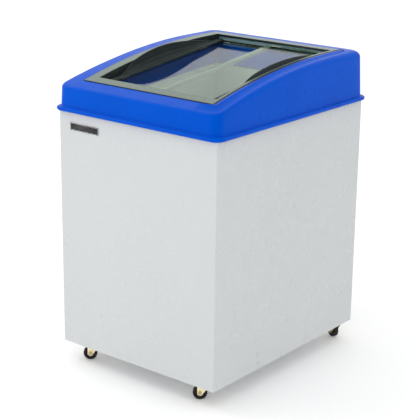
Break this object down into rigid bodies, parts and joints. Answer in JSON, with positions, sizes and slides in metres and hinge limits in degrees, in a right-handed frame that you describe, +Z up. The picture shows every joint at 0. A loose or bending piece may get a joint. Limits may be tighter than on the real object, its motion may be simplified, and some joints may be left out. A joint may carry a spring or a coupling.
{
  "type": "chest freezer",
  "caption": "Chest freezer with a white cabinet, a blue arched top, two sliding glass lids with bowed handles, and swivel casters.",
  "frame": {"origin": "on the floor, under the middle of the cabinet", "axes": "+Z up, -Y out of the front panel, +X to the right seen from the front"},
  "size_m": [0.575, 0.694, 0.8825],
  "materials": {
    "white_enamel": "smooth satin white enamel",
    "galvanised_steel": "galvanised sheet",
    "foam": null,
    "liner_white": "white-coated embossed aluminium",
    "copper_tube": "drawn copper tube",
    "blue_plastic": "glossy moulded plastic",
    "frame_grey": "satin grey-green extrusion",
    "black_rubber": "soft black rubber",
    "badge_metal": "thin plate with a silver border",
    "zinc": "bright zinc plate",
    "black_plastic": "moulded plastic",
    "black_enamel": "black enamel",
    "aluminium": "thin bare aluminium",
    "white_plastic": "moulded plastic",
    "lid_glass": "tempered float glass, slightly green",
    "charcoal_plastic": "satin moulded plastic",
    "clear_plastic": "clear sealing strip",
    "yellow_zinc": "yellow-passivated pressed steel",
    "black_tyre": "solid black tread"
  },
  "bodies": {
    "cabinet": {"outer_cabinet": "white_enamel", "base_pan": "galvanised_steel", "bay_partition": "galvanised_steel", "foam_insulation": "foam", "inner_liner": "liner_white", "evaporator_coil": "copper_tube", "top_surround": "blue_plastic", "inner_collar": "blue_plastic", "frame_front_rail": "frame_grey", "frame_rear_rail": "frame_grey", "frame_left_side": "frame_grey", "frame_right_side": "frame_grey", "frame_gasket": "black_rubber", "badge_plate": "badge_metal", "rear_grille": "white_enamel", "grille_screws": "zinc", "thermostat": "black_plastic", "cord_gland": "black_plastic", "compressor": "black_enamel", "compressor_grommets": "black_rubber", "compressor_bolts": "zinc", "start_relay": "black_plastic", "condenser_tube": "copper_tube", "condenser_fins": "aluminium", "fan_shroud": "galvanised_steel", "fan_motor": "black_enamel", "filter_drier": "copper_tube", "discharge_pipe": "copper_tube", "suction_pipe": "copper_tube", "drain_tube": "white_plastic", "caster_screws": "zinc", "caster_plate_front_left": "yellow_zinc", "caster_plate_front_right": "yellow_zinc", "caster_plate_rear_left": "yellow_zinc", "caster_plate_rear_right": "yellow_zinc"},
    "pane_left": {"glass_left": "lid_glass", "handle_left": "charcoal_plastic", "edge_seal_left": "clear_plastic", "glides_left": "white_plastic"},
    "pane_right": {"glass_right": "lid_glass", "handle_right": "charcoal_plastic", "edge_seal_right": "clear_plastic", "glides_right": "white_plastic"},
    "fan": {"fan_blade": "black_plastic"},
    "knob": {"thermostat_knob": "black_plastic"},
    "plug": {"drain_plug": "black_rubber"},
    "caster_front_left": {"caster_fork_front_left": "yellow_zinc", "caster_axle_front_left": "zinc"},
    "wheel_front_left": {"caster_wheel_front_left": "black_tyre"},
    "caster_front_right": {"caster_fork_front_right": "yellow_zinc", "caster_axle_front_right": "zinc"},
    "wheel_front_right": {"caster_wheel_front_right": "black_tyre"},
    "caster_rear_left": {"caster_fork_rear_left": "yellow_zinc", "caster_axle_rear_left": "zinc"},
    "wheel_rear_left": {"caster_wheel_rear_left": "black_tyre"},
    "caster_rear_right": {"caster_fork_rear_right": "yellow_zinc", "caster_axle_rear_right": "zinc"},
    "wheel_rear_right": {"caster_wheel_rear_right": "black_tyre"}
  },
  "joints": [
    {"name": "left_lid_slide", "type": "slide", "parent": "cabinet", "child": "pane_left", "axis": [1, 0, 0], "range_m": [0, 0.158]},
    {"name": "right_lid_slide", "type": "slide", "parent": "cabinet", "child": "pane_right", "axis": [1, 0, 0], "range_m": [-0.158, 0]},
    {"name": "fan_spin", "type": "hinge", "parent": "cabinet", "child": "fan", "pos_m": [0.07, 0.246, 0.158], "axis": [1, 0, 0], "continuous": true},
    {"name": "thermostat_turn", "type": "hinge", "parent": "cabinet", "child": "knob", "pos_m": [0.178, 0.333, 0.254], "axis": [0, 1, 0], "range_deg": [0, 270]},
    {"name": "drain_plug_pull", "type": "slide", "parent": "cabinet", "child": "plug", "axis": [0, 0, 1], "range_m": [0, 0.03]},
    {"name": "swivel_front_left", "type": "hinge", "parent": "cabinet", "child": "caster_front_left", "pos_m": [-0.203, -0.282, 0.045], "axis": [0, 0, 1], "continuous": true},
    {"name": "roll_front_left", "type": "hinge", "parent": "caster_front_left", "child": "wheel_front_left", "pos_m": [-0.21242, -0.28944, 0.02], "axis": [0.6198, -0.7848, 0], "continuous": true},
    {"name": "swivel_front_right", "type": "hinge", "parent": "cabinet", "child": "caster_front_right", "pos_m": [0.203, -0.282, 0.045], "axis": [0, 0, 1], "continuous": true},
    {"name": "roll_front_right", "type": "hinge", "parent": "caster_front_right", "child": "wheel_front_right", "pos_m": [0.19358, -0.28944, 0.02], "axis": [0.6198, -0.7848, 0], "continuous": true},
    {"name": "swivel_rear_left", "type": "hinge", "parent": "cabinet", "child": "caster_rear_left", "pos_m": [-0.24, 0.302, 0.045], "axis": [0, 0, 1], "continuous": true},
    {"name": "roll_rear_left", "type": "hinge", "parent": "caster_rear_left", "child": "wheel_rear_left", "pos_m": [-0.23017, 0.30888, 0.02], "axis": [-0.5736, 0.8192, 0], "continuous": true},
    {"name": "swivel_rear_right", "type": "hinge", "parent": "cabinet", "child": "caster_rear_right", "pos_m": [0.24, 0.302, 0.045], "axis": [0, 0, 1], "continuous": true},
    {"name": "roll_rear_right", "type": "hinge", "parent": "caster_rear_right", "child": "wheel_rear_right", "pos_m": [0.22872, 0.3061, 0.02], "axis": [-0.342, -0.9397, 0], "continuous": true}
  ]
}
